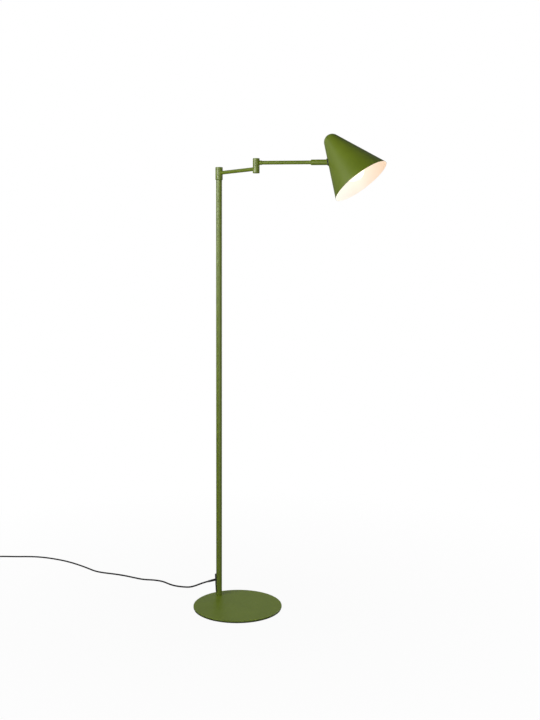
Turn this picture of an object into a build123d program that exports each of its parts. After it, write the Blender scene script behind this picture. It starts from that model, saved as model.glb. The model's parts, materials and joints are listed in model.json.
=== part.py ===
from build123d import *
import math
import os

# Floor lamp on a round plate: a pole, two swinging arms and a cone shade.
# Millimetres and degrees, +Z up. The origin is the centre of the plate's
# underside pad, which is the face the lamp stands on. +X runs from the pole,
# across the plate, to the side that the arms reach over.

# Base
BASE_DIAMETER = 250.0
PLATE_THICKNESS = 4.4
PAD_DIAMETER = 248.0
PAD_THICKNESS = 1.6
POLE_OFFSET = 100.0          # pole axis to plate centre, along -X
BASE_TOP = PAD_THICKNESS + PLATE_THICKNESS
BOLT_SEAT = BASE_TOP - 2.1   # under the plate's web, where the bolt's washer bears

# Pole and arms
POLE_DIAMETER = 16.8
POLE_WALL = 1.2
POLE_BORE = POLE_DIAMETER - 2 * POLE_WALL
ARM_DIAMETER = 10.0
ARM_WALL = 1.2
LOWER_ARM_LENGTH = 160.0     # pole axis to elbow axis
LOWER_ARM_HEIGHT = 1221.7
ARM_STEP = 16.0              # the upper arm runs this much higher
UPPER_ARM_HEIGHT = LOWER_ARM_HEIGHT + ARM_STEP

# How the lamp stands at rest
LOWER_ARM_ANGLE = 6.5        # about the pole, from +X
ELBOW_ANGLE = 42.1           # upper arm from lower arm
HEAD_ROLL = -12.2            # shade about the upper arm, from straight down
SHADE_TILT = 36.07           # shade axis from the vertical, away from the elbow

# Pole top swivel
SLEEVE_DIAMETER = 20.6
SLEEVE_BELOW = 19.6          # below and above the lower arm's centre line
SLEEVE_ABOVE = 14.7
SLEEVE_CHAMBER = 15.6
SPINDLE_DIAMETER = 10.0
RUNNING_FIT = 0.08           # radial
SLIDING_GAP = 0.1            # between faces that slide on each other

# Elbow
ELBOW_DIAMETER = 18.3
ELBOW_BELOW = 10.4           # under the lower arm's centre line
ELBOW_ABOVE = 10.5           # over the upper arm's centre line
ELBOW_CHAMBER = 13.6
ELBOW_SEAM = LOWER_ARM_HEIGHT + 7.75
ELBOW_WEB = 3.4
ELBOW_WASHER = 0.4
PIN_DIAMETER = 8.0

# Head swivel, measured along the upper arm from the elbow axis
COLLAR_DIAMETER = 11.8
COLLAR_START = 9.2
COLLAR_END = 15.5
HEAD_SLEEVE_DIAMETER = 14.8
HEAD_SLEEVE_START = 146.0
HEAD_SHOULDER = 160.5        # where the sleeve's bore widens to its chamber
HEAD_CHAMBER = 12.6
HEAD_CHAMBER_END = 180.0
UPPER_ARM_END = 166.0
STEM_DIAMETER = 10.0
STEM_BORE = 6.2
STEM_START = 178.0
STEM_END = 203.0
GASKET_DIAMETER = 19.0
GASKET_THICKNESS = 2.4       # between the sleeve's mitred end and the shade's wall
SPACER_DIAMETER = 18.0
INNER_SPACER_END = 196.5
STRAP_THICKNESS = 2.0

# Shade: a cone that ends in a small dome
SHADE_RADIUS = 81.5
SHADE_HEIGHT = 155.0
DOME_RADIUS = 22.0
SHADE_WALL = 1.2
MOUTH_FORWARD = 279.9        # mouth centre from the elbow axis, along the arm
MOUTH_DOWN = 52.6            # and below the upper arm's centre line

# Lamp holder and bulb, in heights over the shade's mouth
HOLDER_DIAMETER = 36.0
HOLDER_BOTTOM = 84.5
HOLDER_SHOULDER = 129.0
HOLDER_TOP = 136.5
HOLDER_CAVITY_TOP = 121.0
BULB_RADIUS = 30.0
BULB_END = 8.0
BULB_NECK_TOP = 88.0
CAP_TOP = 112.5
CAP_RADIUS = 13.2

# Mains cord
CORD_DIAMETER = 4.6
OUTLET_HEIGHT = 52.5
OUTLET_ANGLE = -110.0        # side of the pole that the cord leaves
OUTLET_SLOT_LENGTH = 30.0
OUTLET_PLATE_BOTTOM = 15.0
OUTLET_PLATE_TOP = 70.0
OUTLET_PLATE_WIDTH = 6.6
OUTLET_PLATE_REACH = 12.2    # outer face from the pole axis, at the top
OUTLET_PLATE_FOOT = 9.6      # and at the bottom, where it runs out along the pole
NOSE_ROOT = 9.5              # from the pole axis
NOSE_LENGTH = 23.0
NOSE_DROOP = 10.0
NOSE_DIAMETER = 6.4
NOSE_TIP_DIAMETER = 5.3
FLOOR_CORD = CORD_DIAMETER / 2

# Inline switch, which lies along -Y
SWITCH_X = -812.0
SWITCH_Y = -461.0
SWITCH_LENGTH = 58.0
SWITCH_WIDTH = 24.0
SWITCH_HEIGHT = 14.0
SWITCH_SPLIT = 7.0
ROCKER_LENGTH = 17.0
ROCKER_WIDTH = 11.0
ROCKER_THROW = 14.0
ROCKER_AXIS = 11.0         # height of the rocker's trunnions over the switch's foot
TRUNNION_DIAMETER = 1.8
TRUNNION_SPAN = 17.0

# Coil of spare cord
COIL_CENTRE = (-779.1, -526.0)
COIL_OUTER_TURN = 32.9
COIL_INNER_TURN = 19.1
COIL_BOTTOM = 0.6
TIE_THICKNESS = 0.5
TIE_WIDTH = 8.0
TIE_ANGLE = -35.0

# Plug, which lies beyond the coil and points along -Y
PLUG_START = (-814.0, -564.0)
PLUG_LENGTH = 36.0
PLUG_WIDTH = 35.3
PLUG_THICKNESS = 13.7
PIN_SPACING = 18.6
PLUG_PIN_DIAMETER = 4.0
PLUG_PIN_LENGTH = 19.0

# The cord's way: off the pole, down to the floor, and along it to the switch.
# Each point is a corner that the tube rounds with its own arc.
_side = math.radians(OUTLET_ANGLE)
_droop = math.radians(NOSE_DROOP)
NOSE_REACH = NOSE_ROOT + NOSE_LENGTH * math.cos(_droop)
NOSE_TIP_HEIGHT = OUTLET_HEIGHT - NOSE_LENGTH * math.sin(_droop)
CORD_ROUTE = [
    (-POLE_OFFSET + NOSE_REACH * math.cos(_side), NOSE_REACH * math.sin(_side), NOSE_TIP_HEIGHT),
    (-115.04, -41.32, 46.42),
    (-122.5, -55.0, 41.0),
    (-137.0, -62.5, 33.0),
    (-157.0, -66.5, 25.0),
    (-184.0, -68.5, 18.0),
    (-215.0, -68.8, 10.8),
    (-243.0, -69.5, 5.2),
    (-271.0, -71.5, 2.3),
    (-303.0, -75.0, 2.3),
    (-330.0, -91.0, 2.3),
    (-352.0, -116.5, 2.3),
    (-380.0, -131.0, 2.3),
    (-416.0, -147.0, 2.3),
    (-450.0, -168.0, 2.3),
    (-479.0, -191.0, 2.3),
    (-509.0, -207.0, 2.3),
    (-555.0, -214.5, 2.3),
    (-606.0, -226.0, 2.3),
    (-655.0, -242.0, 2.3),
    (-702.0, -266.0, 2.3),
    (-741.0, -293.0, 2.3),
    (-769.0, -324.0, 2.3),
    (-789.0, -357.0, 2.4),
    (-805.0, -387.0, 4.2),
    (-812.0, -411.0, 6.8),
    (-812.0, -432.0, 7.0),
]
SWITCH_LEAD_ROUTE = [
    (-812.0, -490.0, 7.0),
    (-812.0, -499.0, 7.0),
    (-812.3, -511.0, 4.0),
    (-812.0, -526.0, 3.0),
]
PLUG_LEAD_ROUTE = [
    (-812.0, -526.0, 7.5),
    (-812.6, -540.0, 7.6),
    (-814.0, -552.0, 6.85),
    (-814.0, -564.0, 6.85),
]

UP = (Align.CENTER, Align.CENTER, Align.MIN)
ALONG_X = Rot(0, 90, 0)


def rod(diameter, low, high):
    return Pos(0, 0, low) * Cylinder(diameter / 2, high - low, align=UP)


def tube(outer, inner, low, high):
    return rod(outer, low, high) - rod(inner, low - 1, high + 1)


def hex_nut(flats, bore, low, high):
    blank = extrude(RegularPolygon(flats / 2, 6, major_radius=False), high - low)
    return Pos(0, 0, low) * blank - rod(bore, low - 1, high + 1)


def write(name, shape, place=None):
    solid = place * shape if place else shape
    export_step(solid, f"parts/{name}.step")


def unit(a, b):
    return (b - a).normalized()


def cord_tube(name, points):
    """A round tube through the points, with an arc at each corner."""
    at = [Vector(*p) for p in points]
    radii = []
    for before, corner, after in zip(at, at[1:], at[2:]):
        shorter = min((corner - before).length, (after - corner).length)
        turn = math.radians(unit(before, corner).get_angle(unit(corner, after)))
        radii.append(0.45 * shorter / math.tan(turn / 2))
    path = FilletPolyline(*at, radius=radii)
    start = Plane(at[0], z_dir=unit(at[0], at[1]))
    solid = sweep(start * Circle(CORD_DIAMETER / 2), path=path)
    share = solid.volume / (math.pi * CORD_DIAMETER ** 2 / 4 * path.length)
    print(name, "length", round(path.length, 1), "volume share", round(share, 4))
    print("  radii", [round(r, 1) for r in radii])
    return solid


# Frames of the moving bodies
POLE = Pos(-POLE_OFFSET, 0, 0)
LOWER = POLE * Rot(0, 0, LOWER_ARM_ANGLE)
UPPER = LOWER * Pos(LOWER_ARM_LENGTH, 0, 0) * Rot(0, 0, ELBOW_ANGLE)
HEAD = UPPER * Pos(0, 0, UPPER_ARM_HEIGHT) * Rot(HEAD_ROLL, 0, 0)
SHADE_IN_HEAD = Pos(MOUTH_FORWARD, 0, -MOUTH_DOWN) * Rot(0, -SHADE_TILT, 0)
SHADE = HEAD * SHADE_IN_HEAD
OUTLET = POLE * Rot(0, 0, OUTLET_ANGLE)


# ---------------------------------------------------------------- base
def base_plate():
    disc = rod(BASE_DIAMETER, PAD_THICKNESS, BASE_TOP)
    disc = chamfer(disc.edges().filter_by(GeomType.CIRCLE), 0.6)
    bolt_way = rod(8.4, 0, BASE_TOP + 1) + rod(15.0, 0, BOLT_SEAT)
    pin_way = Pos(0, 5.0, 0) * rod(2.1, BOLT_SEAT + 0.2, BASE_TOP + 1)
    return disc - POLE * (bolt_way + pin_way)


def base_pad():
    return rod(PAD_DIAMETER, 0, PAD_THICKNESS) - POLE * rod(17.0, -1, PAD_THICKNESS + 1)


def base_bolt():
    head = rod(13.0, 1.15, 3.0)
    socket = Pos(0, 0, 1.0) * extrude(RegularPolygon(2.5, 6, major_radius=False), 1.4)
    return head + rod(8.0, 3.0, 24.0) - socket


def pole_foot():
    plug = rod(POLE_BORE - 0.1, BASE_TOP, 34.0) - rod(8.05, BASE_TOP - 1, 26.0)
    return plug - Pos(0, 5.0, 0) * rod(2.1, BASE_TOP - 1, 12.0)


def pole():
    low, high = BASE_TOP, sleeve_bottom() - SLIDING_GAP - 0.5
    body = tube(POLE_DIAMETER, POLE_BORE, low, high)
    slot = extrude(SlotOverall(OUTLET_SLOT_LENGTH, 4.6), 12.0)
    slot = Rot(0, 0, OUTLET_ANGLE) * Pos(0, 0, OUTLET_HEIGHT) * Rot(0, 90, 0) * slot
    return body - slot


def sleeve_bottom():
    return LOWER_ARM_HEIGHT - SLEEVE_BELOW


def cable_way(diameter, beyond=0.0):
    """Round way in through the drooping nose and up inside the pole."""
    droop = math.radians(NOSE_DROOP)
    length = NOSE_LENGTH + beyond
    tip = (NOSE_ROOT + length * math.cos(droop), 0, OUTLET_HEIGHT - length * math.sin(droop))
    path = FilletPolyline(tip, (NOSE_ROOT, 0, OUTLET_HEIGHT), (0, 0, OUTLET_HEIGHT),
                          (0, 0, LOWER_ARM_HEIGHT + 6.0), radius=[30.0, 6.0])
    start = Plane(tip, z_dir=(-math.cos(droop), 0, math.sin(droop)))
    return sweep(start * Circle(diameter / 2), path=path)


def cord_outlet():
    """Rubber outlet: a tapering plate on the pole, a neck in its slot, a nose."""
    middle = (OUTLET_PLATE_BOTTOM + OUTLET_PLATE_TOP) / 2
    plate = SlotOverall(OUTLET_PLATE_TOP - OUTLET_PLATE_BOTTOM, OUTLET_PLATE_WIDTH)
    plate = Pos(6.0, 0, middle) * Rot(0, 90, 0) * extrude(plate, OUTLET_PLATE_REACH - 5.0)
    profile = Polyline((6.0, OUTLET_PLATE_BOTTOM), (OUTLET_PLATE_FOOT, OUTLET_PLATE_BOTTOM),
                       (OUTLET_PLATE_REACH, OUTLET_PLATE_TOP), (6.0, OUTLET_PLATE_TOP), close=True)
    plate &= extrude(Plane.XZ * make_face(profile), OUTLET_PLATE_WIDTH, both=True)
    plate = fillet(plate.faces().sort_by(Axis.X)[-1].edges(), 1.0)
    plate -= rod(POLE_DIAMETER + 0.02, 0, 100)
    neck = SlotOverall(OUTLET_SLOT_LENGTH - 0.4, 4.2)
    neck = Pos(6.2, 0, OUTLET_HEIGHT) * Rot(0, 90, 0) * extrude(neck, 2.6)
    nose = Cone(NOSE_DIAMETER / 2, NOSE_TIP_DIAMETER / 2, NOSE_LENGTH, align=UP)
    nose = Pos(NOSE_ROOT, 0, OUTLET_HEIGHT) * Rot(0, 90 + NOSE_DROOP, 0) * nose
    return plate + neck + nose - cable_way(CORD_DIAMETER + 0.06, 1.0)


def pole_cable():
    """The cord's inner end: in through the outlet and up inside the pole."""
    return cable_way(CORD_DIAMETER)


def cable_grip():
    """Split bush that holds the cable in the pole above the outlet."""
    grip = tube(POLE_BORE - 0.1, CORD_DIAMETER + 0.1, 78.0, 90.0)
    return grip - Pos(5.0, 0, 84.0) * Box(8.0, 1.2, 14.0)


def pole_spigot():
    low = sleeve_bottom() - SLIDING_GAP - 0.5
    body = rod(POLE_BORE - 0.1, low - 25.0, low) + rod(SPINDLE_DIAMETER, low, low + 15.4)
    return body - rod(5.4, low - 26.0, low + 16.0)


# ----------------------------------------------------- pole top swivel
def swivel_sleeve():
    low, high = sleeve_bottom(), LOWER_ARM_HEIGHT + SLEEVE_ABOVE
    body = rod(SLEEVE_DIAMETER, low, high)
    body = chamfer(body.edges().group_by(Axis.Z)[0], 1.6, 1.4)
    body -= rod(SPINDLE_DIAMETER + 2 * RUNNING_FIT, low - 1, high)
    body -= rod(SLEEVE_CHAMBER, low + 8.0, high + 1)
    arm_way = rod(ARM_DIAMETER + 0.04, 0, SLEEVE_DIAMETER)
    return body - Pos(0, 0, LOWER_ARM_HEIGHT) * ALONG_X * arm_way


def swivel_cap():
    top = LOWER_ARM_HEIGHT + SLEEVE_ABOVE
    plug = rod(SLEEVE_CHAMBER - 0.04, top - 3.0, top)
    lid = fillet(rod(SLEEVE_DIAMETER, top, top + 1.2).edges().group_by(Axis.Z)[-1], 0.9)
    return plug + lid


def swivel_nut():
    low = sleeve_bottom() + 9.4
    return hex_nut(13.0, SPINDLE_DIAMETER + 0.04, low, low + 3.8)


def arm_tube(start, end):
    tube_along = ALONG_X * tube(ARM_DIAMETER, ARM_DIAMETER - 2 * ARM_WALL, start, end)
    return tube_along


def arm_cable(start, end):
    return ALONG_X * rod(CORD_DIAMETER, start, end)


# ---------------------------------------------------------------- elbow
def elbow_lower_knuckle():
    low, high = LOWER_ARM_HEIGHT - ELBOW_BELOW, ELBOW_SEAM
    body = rod(ELBOW_DIAMETER, low, high) - rod(ELBOW_CHAMBER, low - 1, high - ELBOW_WEB)
    body -= rod(PIN_DIAMETER + 0.04, low, high + 1)
    arm_way = rod(ARM_DIAMETER + 0.04, 0, ELBOW_DIAMETER)
    return body - Pos(0, 0, LOWER_ARM_HEIGHT) * Rot(0, -90, 0) * arm_way


def elbow_upper_knuckle():
    low, high = ELBOW_SEAM + ELBOW_WASHER + SLIDING_GAP, UPPER_ARM_HEIGHT + ELBOW_ABOVE
    body = rod(ELBOW_DIAMETER, low, high) - rod(ELBOW_CHAMBER, low + ELBOW_WEB, high + 1)
    body -= rod(PIN_DIAMETER + 2 * RUNNING_FIT, low - 1, high)
    arm_way = rod(ARM_DIAMETER + 0.04, 0, ELBOW_DIAMETER)
    return body - Pos(0, 0, UPPER_ARM_HEIGHT) * ALONG_X * arm_way


def elbow_cap(face, outwards):
    """Round lid, pressed into a knuckle's open end."""
    lid = fillet(rod(ELBOW_DIAMETER, 0, 1.0).edges().group_by(Axis.Z)[-1], 0.7)
    cap = lid + rod(ELBOW_CHAMBER - 0.04, -2.4, 0)
    flip = Rot(0, 0, 0) if outwards > 0 else Rot(180, 0, 0)
    return Pos(0, 0, face) * flip * cap


def elbow_pin():
    seat = ELBOW_SEAM + ELBOW_WASHER + SLIDING_GAP + ELBOW_WEB + SLIDING_GAP + 1.0
    body = rod(PIN_DIAMETER, ELBOW_SEAM - ELBOW_WEB - 4.6, seat)
    body += rod(12.4, seat, seat + 1.6)
    return body - rod(5.0, 0, seat + 2)


def elbow_spring():
    low = ELBOW_SEAM + ELBOW_WASHER + SLIDING_GAP + ELBOW_WEB + SLIDING_GAP
    return tube(12.6, PIN_DIAMETER + 0.1, low, low + 1.0)


def elbow_nut():
    high = ELBOW_SEAM - ELBOW_WEB
    return hex_nut(11.0, PIN_DIAMETER + 0.04, high - 3.2, high)


# ----------------------------------------------------------- head swivel
def head_sleeve():
    """Sleeve round the arm's end, mitred to the slope of the shade's wall."""
    body = rod(HEAD_SLEEVE_DIAMETER, HEAD_SLEEVE_START, STEM_END)
    body = chamfer(body.edges().group_by(Axis.Z)[0], 1.4)
    body -= rod(ARM_DIAMETER + 2 * RUNNING_FIT, HEAD_SLEEVE_START - 1, HEAD_SHOULDER + 1)
    body -= rod(HEAD_CHAMBER, HEAD_SHOULDER, HEAD_CHAMBER_END)
    body -= rod(STEM_DIAMETER + 0.04, HEAD_CHAMBER_END - 1, STEM_END + 1)
    return ALONG_X * body - SHADE_IN_HEAD * cone_solid(-GASKET_THICKNESS, 40.0)


def head_spring():
    low = HEAD_SHOULDER + SLIDING_GAP
    return ALONG_X * tube(11.9, ARM_DIAMETER + 0.04, low, low + 0.9)


def head_retaining_ring():
    low = HEAD_SHOULDER + SLIDING_GAP + 0.9
    return ALONG_X * tube(11.8, ARM_DIAMETER + 0.04, low, low + 1.4)


def head_stem():
    return ALONG_X * tube(STEM_DIAMETER, STEM_BORE, STEM_START, STEM_END)


def stem_nut():
    low = INNER_SPACER_END + STRAP_THICKNESS
    return ALONG_X * hex_nut(14.0, STEM_DIAMETER + 0.04, low, low + 3.0)


# ----------------------------------------------------------------- shade
def cone_half_angle():
    centre = SHADE_HEIGHT - DOME_RADIUS
    reach = math.hypot(SHADE_RADIUS, centre)
    return math.acos(DOME_RADIUS / reach) - math.atan2(centre, SHADE_RADIUS)


def shade_outline(inset):
    """Mouth radius, dome radius and tangent point of the outline, moved in."""
    angle = cone_half_angle()
    mouth = SHADE_RADIUS - inset / math.cos(angle)
    dome = DOME_RADIUS - inset
    centre = SHADE_HEIGHT - DOME_RADIUS
    tangent = (dome * math.cos(angle), centre + dome * math.sin(angle))
    bend = math.radians(45) + angle / 2
    middle = (dome * math.cos(bend), centre + dome * math.sin(bend))
    return mouth, tangent, middle, centre + dome


def cone_solid(inset, overrun=0.0):
    mouth, tangent, middle, top = shade_outline(inset)
    low = -overrun
    wide = mouth + overrun * math.tan(cone_half_angle())
    outline = Line((0, low), (wide, low)) + Line((wide, low), tangent)
    outline += ThreePointArc(tangent, middle, (0, top)) + Line((0, top), (0, low))
    return revolve(Plane.XZ * make_face(outline), Axis.Z)


def shade_shell():
    shell = cone_solid(0) - cone_solid(SHADE_WALL, 1.0)
    hole = ALONG_X * rod(STEM_DIAMETER + 0.1, HEAD_CHAMBER_END, STEM_END)
    return shell - SHADE_IN_HEAD.inverse() * hole


def wall_gasket():
    """Thin ring that lies on the sloping wall under the sleeve's mitred end."""
    ring = ALONG_X * tube(GASKET_DIAMETER, STEM_DIAMETER + 0.04, HEAD_CHAMBER_END, STEM_END)
    layer = cone_solid(-GASKET_THICKNESS) - cone_solid(0, 1.0)
    return ring & SHADE_IN_HEAD * layer


def inner_spacer():
    ring = tube(SPACER_DIAMETER, STEM_DIAMETER + 0.04, HEAD_CHAMBER_END, INNER_SPACER_END)
    return ALONG_X * ring & SHADE_IN_HEAD * cone_solid(SHADE_WALL)


def holder_strap():
    """Bent steel strap from the stem up to the lamp holder's top."""
    half = STRAP_THICKNESS / 2
    stem_dir = Vector(math.cos(math.radians(SHADE_TILT)), 0, -math.sin(math.radians(SHADE_TILT)))
    crossing = SHADE_IN_HEAD.inverse() * Pos(INNER_SPACER_END + half, 0, 0)
    foot = crossing.position
    across = Vector(-stem_dir.Z, 0, stem_dir.X)
    line = [foot - across * 9.0, foot + across * 10.4, Vector(-17.4, 0, HOLDER_TOP + half),
            Vector(9.0, 0, HOLDER_TOP + half)]
    sides = []
    for sign in (1, -1):
        edge = []
        for i, corner in enumerate(line):
            into = unit(line[max(i - 1, 0)], line[max(i, 1)])
            out = unit(line[min(i, len(line) - 2)], line[min(i + 1, len(line) - 1)])
            normal = Vector(-into.Z - out.Z, 0, into.X + out.X).normalized()
            stretch = 1 / math.cos(math.radians(into.get_angle(out)) / 2)
            edge.append(corner + normal * (sign * half * stretch))
        sides.append(edge)
    outline = Polyline(*sides[0], *reversed(sides[1]), close=True)
    strap = extrude(make_face(outline), 7.0, both=True)
    stem_hole = SHADE_IN_HEAD.inverse() * ALONG_X * rod(STEM_DIAMETER + 0.1, 190, 204)
    return strap - stem_hole - rod(STEM_DIAMETER + 0.1, HOLDER_TOP - 2, HOLDER_TOP + 4)


def holder_nipple():
    return tube(STEM_DIAMETER, STEM_BORE, HOLDER_TOP - 9.0, HOLDER_TOP + 6.0)


def holder_nut():
    low = HOLDER_TOP + STRAP_THICKNESS
    return hex_nut(14.0, STEM_DIAMETER + 0.04, low, low + 3.0)


def lamp_holder():
    body = rod(HOLDER_DIAMETER, HOLDER_BOTTOM, HOLDER_SHOULDER)
    crown = Cone(HOLDER_DIAMETER / 2, 11.0, HOLDER_TOP - HOLDER_SHOULDER, align=UP)
    body += Pos(0, 0, HOLDER_SHOULDER) * crown
    body -= rod(30.4, HOLDER_BOTTOM - 1, HOLDER_CAVITY_TOP)
    return body - rod(STEM_DIAMETER + 0.04, HOLDER_CAVITY_TOP - 1, HOLDER_TOP + 1)


def holder_thread():
    return tube(30.2, 27.4, HOLDER_BOTTOM + 3.0, CAP_TOP)


def holder_contacts():
    """Ceramic block at the bottom of the holder, with the centre contact."""
    block = rod(30.2, CAP_TOP + 3.0, HOLDER_CAVITY_TOP)
    return block + rod(7.0, CAP_TOP + 2.0, CAP_TOP + 3.5)


def bulb_cap():
    return tube(2 * CAP_RADIUS, 2 * CAP_RADIUS - 1.6, BULB_NECK_TOP, CAP_TOP) + rod(
        2 * CAP_RADIUS, CAP_TOP - 1.0, CAP_TOP) + rod(9.0, CAP_TOP, CAP_TOP + 1.9)


def bulb_solid(inset):
    radius = BULB_RADIUS - inset
    centre = BULB_END + BULB_RADIUS
    rise = math.radians(35)
    shoulder = (radius * math.cos(rise), centre + radius * math.sin(rise))
    side = (radius * math.cos(-rise), centre + radius * math.sin(-rise))
    neck = (13.4 - inset, BULB_NECK_TOP - 6.0)
    outline = Line((0, centre - radius), (0, BULB_NECK_TOP))
    outline += Line((0, BULB_NECK_TOP), (neck[0], BULB_NECK_TOP))
    outline += Line((neck[0], BULB_NECK_TOP), neck)
    outline += ThreePointArc(neck, (18.0 - inset, 66.6), shoulder)
    outline += ThreePointArc(shoulder, side, (0, centre - radius))
    return revolve(Plane.XZ * make_face(outline), Axis.Z)


def bulb_glass():
    return bulb_solid(0) - bulb_solid(1.0)


def head_cable():
    """Cable from the stem, round the strap and down into the holder's nipple."""
    start = SHADE_IN_HEAD.inverse() * Pos(STEM_START + 1.0, 0, 0)
    mouth = SHADE_IN_HEAD.inverse() * Pos(STEM_END + 6.0, 0, 0)
    points = [start.position, mouth.position, Vector(-25.0, 11.0, 92.0),
              Vector(-22.0, 15.0, 116.0), Vector(-11.0, 16.6, 133.0), Vector(-3.0, 11.0, 142.5),
              Vector(0, 4.5, 147.6), Vector(0, 0, 146.0), Vector(0, 0, HOLDER_TOP - 8.0)]
    path = FilletPolyline(*points, radius=[3.4, 6, 10, 6, 4, 2.2, 2.0])
    start_plane = Plane(points[0], z_dir=unit(points[0], points[1]))
    return sweep(start_plane * Circle(1.7), path=path)


# --------------------------------------------------- switch, coil, plug
SWITCH = Pos(SWITCH_X, SWITCH_Y, 0)


def switch_block():
    block = Box(SWITCH_WIDTH, SWITCH_LENGTH, SWITCH_HEIGHT, align=UP)
    block = fillet(block.edges().filter_by(Axis.Z), 8.0)
    return fillet(block.edges().group_by(Axis.Z)[-1], 2.5)


def switch_way():
    """Room inside the switch: the cord's bore, the rocker's well and bearings, the works."""
    bore = Pos(0, 0, SWITCH_SPLIT) * Rot(90, 0, 0) * Cylinder(
        CORD_DIAMETER / 2 + 0.03, SWITCH_LENGTH + 2)
    works = Pos(0, 0, 2.2) * Box(15.0, 36.0, SWITCH_HEIGHT - 4.4, align=UP)
    well = Pos(0, 0, 8.0) * Box(ROCKER_WIDTH + 0.8, ROCKER_LENGTH + 1.2, 10.0, align=UP)
    return bore + works + well + trunnions(0.06, 0.6)


def trunnions(wider=0.0, longer=0.0):
    """The rocker's two stub axles as one rod across the switch, or their bore."""
    return Pos(0, 0, ROCKER_AXIS) * Rot(0, 90, 0) * Cylinder(
        (TRUNNION_DIAMETER + wider) / 2, TRUNNION_SPAN + longer)


def switch_screws_at(diameter, low, high):
    spots = [Pos(x, y, 0) for x in (-9.4, 9.4) for y in (-13.0, 13.0)]
    return [spot * rod(diameter, low, high) for spot in spots[::3]]


def switch_half(low, high):
    slab = Pos(0, 0, low) * Box(60.0, 90.0, high - low, align=UP)
    half = switch_block() & slab
    half -= switch_way()
    for way in switch_screws_at(2.6, -1, 11.0):
        half -= way
    return half


def switch_screws():
    pair = [s + h for s, h in zip(switch_screws_at(2.5, 1.6, 10.6), switch_screws_at(2.5, 0.3, 2))]
    return Compound(children=pair)


def rocker():
    """Rocker cap, tipped to the side that is pressed at rest."""
    cap = Pos(0, 0, 11.4) * Box(ROCKER_WIDTH, ROCKER_LENGTH, 3.2, align=UP)
    cap = fillet(cap.edges().group_by(Axis.Z)[-1], 0.8)
    hollow = Rot(0, 90, 0) * Cylinder(40.0, 30.0)
    cap -= Pos(0, 0, 13.9 + 40.0) * hollow
    cap += Pos(0, 0, 10.2) * Box(4.0, 5.0, 2.0, align=UP)
    cap += trunnions()
    tipped = Pos(0, 0, ROCKER_AXIS) * Rot(ROCKER_THROW / 2, 0, 0) * Pos(0, 0, -ROCKER_AXIS)
    return tipped * cap


def cord_coil():
    half_cord = CORD_DIAMETER / 2
    outer = COIL_OUTER_TURN + half_cord + 0.2
    inner = COIL_INNER_TURN - half_cord - 0.2
    ring = tube(2 * outer, 2 * inner, COIL_BOTTOM, COIL_BOTTOM + 2 * CORD_DIAMETER + 0.1)
    return Pos(*COIL_CENTRE, 0) * fillet(ring.edges(), 2.0)


def coil_tie():
    """Strap round the coil's turns at one side."""
    middle = (COIL_OUTER_TURN + COIL_INNER_TURN) / 2
    width = COIL_OUTER_TURN - COIL_INNER_TURN + CORD_DIAMETER + 1.6
    height = 2 * CORD_DIAMETER + 0.3
    base = COIL_BOTTOM - 0.1
    outer = Box(width + 2 * TIE_THICKNESS, TIE_WIDTH, height + 2 * TIE_THICKNESS, align=UP)
    inner = Pos(0, 0, TIE_THICKNESS) * Box(width, TIE_WIDTH + 2, height, align=UP)
    place = Pos(*COIL_CENTRE, base - TIE_THICKNESS) * Rot(0, 0, TIE_ANGLE) * Pos(middle, 0, 0)
    return place * (outer - inner)


def plug_body():
    half = PLUG_WIDTH / 2
    outline = Polyline((-7.0, 0), (7.0, 0), (11.5, -14.0), (half, -26.0), (half, -PLUG_LENGTH),
                       (-half, -PLUG_LENGTH), (-half, -26.0), (-11.5, -14.0), close=True)
    body = extrude(make_face(outline), PLUG_THICKNESS)
    body = fillet(body.edges().filter_by(Axis.Z), 2.0)
    body = fillet(body.edges().group_by(Axis.Z)[-1] + body.edges().group_by(Axis.Z)[0], 1.5)
    socket = Pos(0, 1.0, PLUG_THICKNESS / 2) * Rot(90, 0, 0) * rod(CORD_DIAMETER, 0, 12.0)
    for x in (-PIN_SPACING / 2, PIN_SPACING / 2):
        hole = rod(PLUG_PIN_DIAMETER, 0, 12.0)
        body -= Pos(x, 1 - PLUG_LENGTH + 8, PLUG_THICKNESS / 2) * Rot(90, 0, 0) * hole
    return body - socket


def plug_pins():
    pins = []
    for x in (-PIN_SPACING / 2, PIN_SPACING / 2):
        pin = rod(PLUG_PIN_DIAMETER, 0, PLUG_PIN_LENGTH + 8.0)
        pin = fillet(pin.edges().group_by(Axis.Z)[-1], 1.4)
        pins.append(Pos(x, 8 - PLUG_LENGTH, PLUG_THICKNESS / 2) * Rot(90, 0, 0) * pin)
    return Compound(children=pins)


def coil_lead(name, route):
    """Short cord between the coil and its neighbour, cut flush with the coil."""
    lead = cord_tube(name, route) - cord_coil()
    far = Vector(*COIL_CENTRE, 0)
    return max(lead.solids(), key=lambda s: (s.center() - far).length)


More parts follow.
